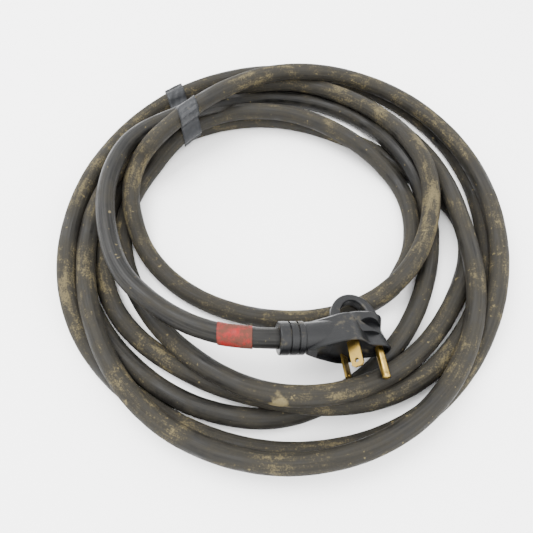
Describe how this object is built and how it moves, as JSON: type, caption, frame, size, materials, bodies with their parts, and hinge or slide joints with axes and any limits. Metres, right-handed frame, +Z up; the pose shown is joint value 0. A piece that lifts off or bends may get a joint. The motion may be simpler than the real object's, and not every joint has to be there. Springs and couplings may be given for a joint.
{
  "type": "shore power cord",
  "caption": "Loosely coiled heavy rubber power cord with a right-angle moulded plug with a pull ring at one end and stripped wires at the other, tied with tape.",
  "frame": {"origin": "on the floor, under the middle of the whole coil's bounding box", "axes": "+Z up out of the floor; -Y the side on which the plug lies, the way its pins point; +X the way the cord runs into the plug"},
  "size_m": [0.3941, 0.4031, 0.0511],
  "materials": {
    "cord_rubber": "dusty satin",
    "black_tape": "satin vinyl",
    "red_tape": "faded and dusty",
    "plug_rubber": "satin moulded",
    "carrier": "matte",
    "brass": "dull",
    "copper": "dull stranded copper",
    "black_wire": "satin",
    "white_wire": "satin",
    "green_wire": "satin"
  },
  "bodies": {
    "root": {"cord_coil": "cord_rubber", "cord_lead": "cord_rubber", "tie_tape": "black_tape", "marker_tape": "red_tape", "strain_relief": "plug_rubber", "plug_body": "plug_rubber", "pin_carrier": "carrier", "hot_blade": "brass", "neutral_blade": "brass", "ground_pin": "brass", "hot_terminal": "brass", "hot_insulation": "black_wire", "hot_copper": "copper", "tail_hot_insulation": "black_wire", "tail_hot_copper": "copper", "neutral_terminal": "brass", "neutral_insulation": "white_wire", "neutral_copper": "copper", "tail_neutral_insulation": "white_wire", "tail_neutral_copper": "copper", "ground_terminal": "brass", "ground_insulation": "green_wire", "ground_copper": "copper", "tail_ground_insulation": "green_wire", "tail_ground_copper": "copper"}
  },
  "joints": []
}
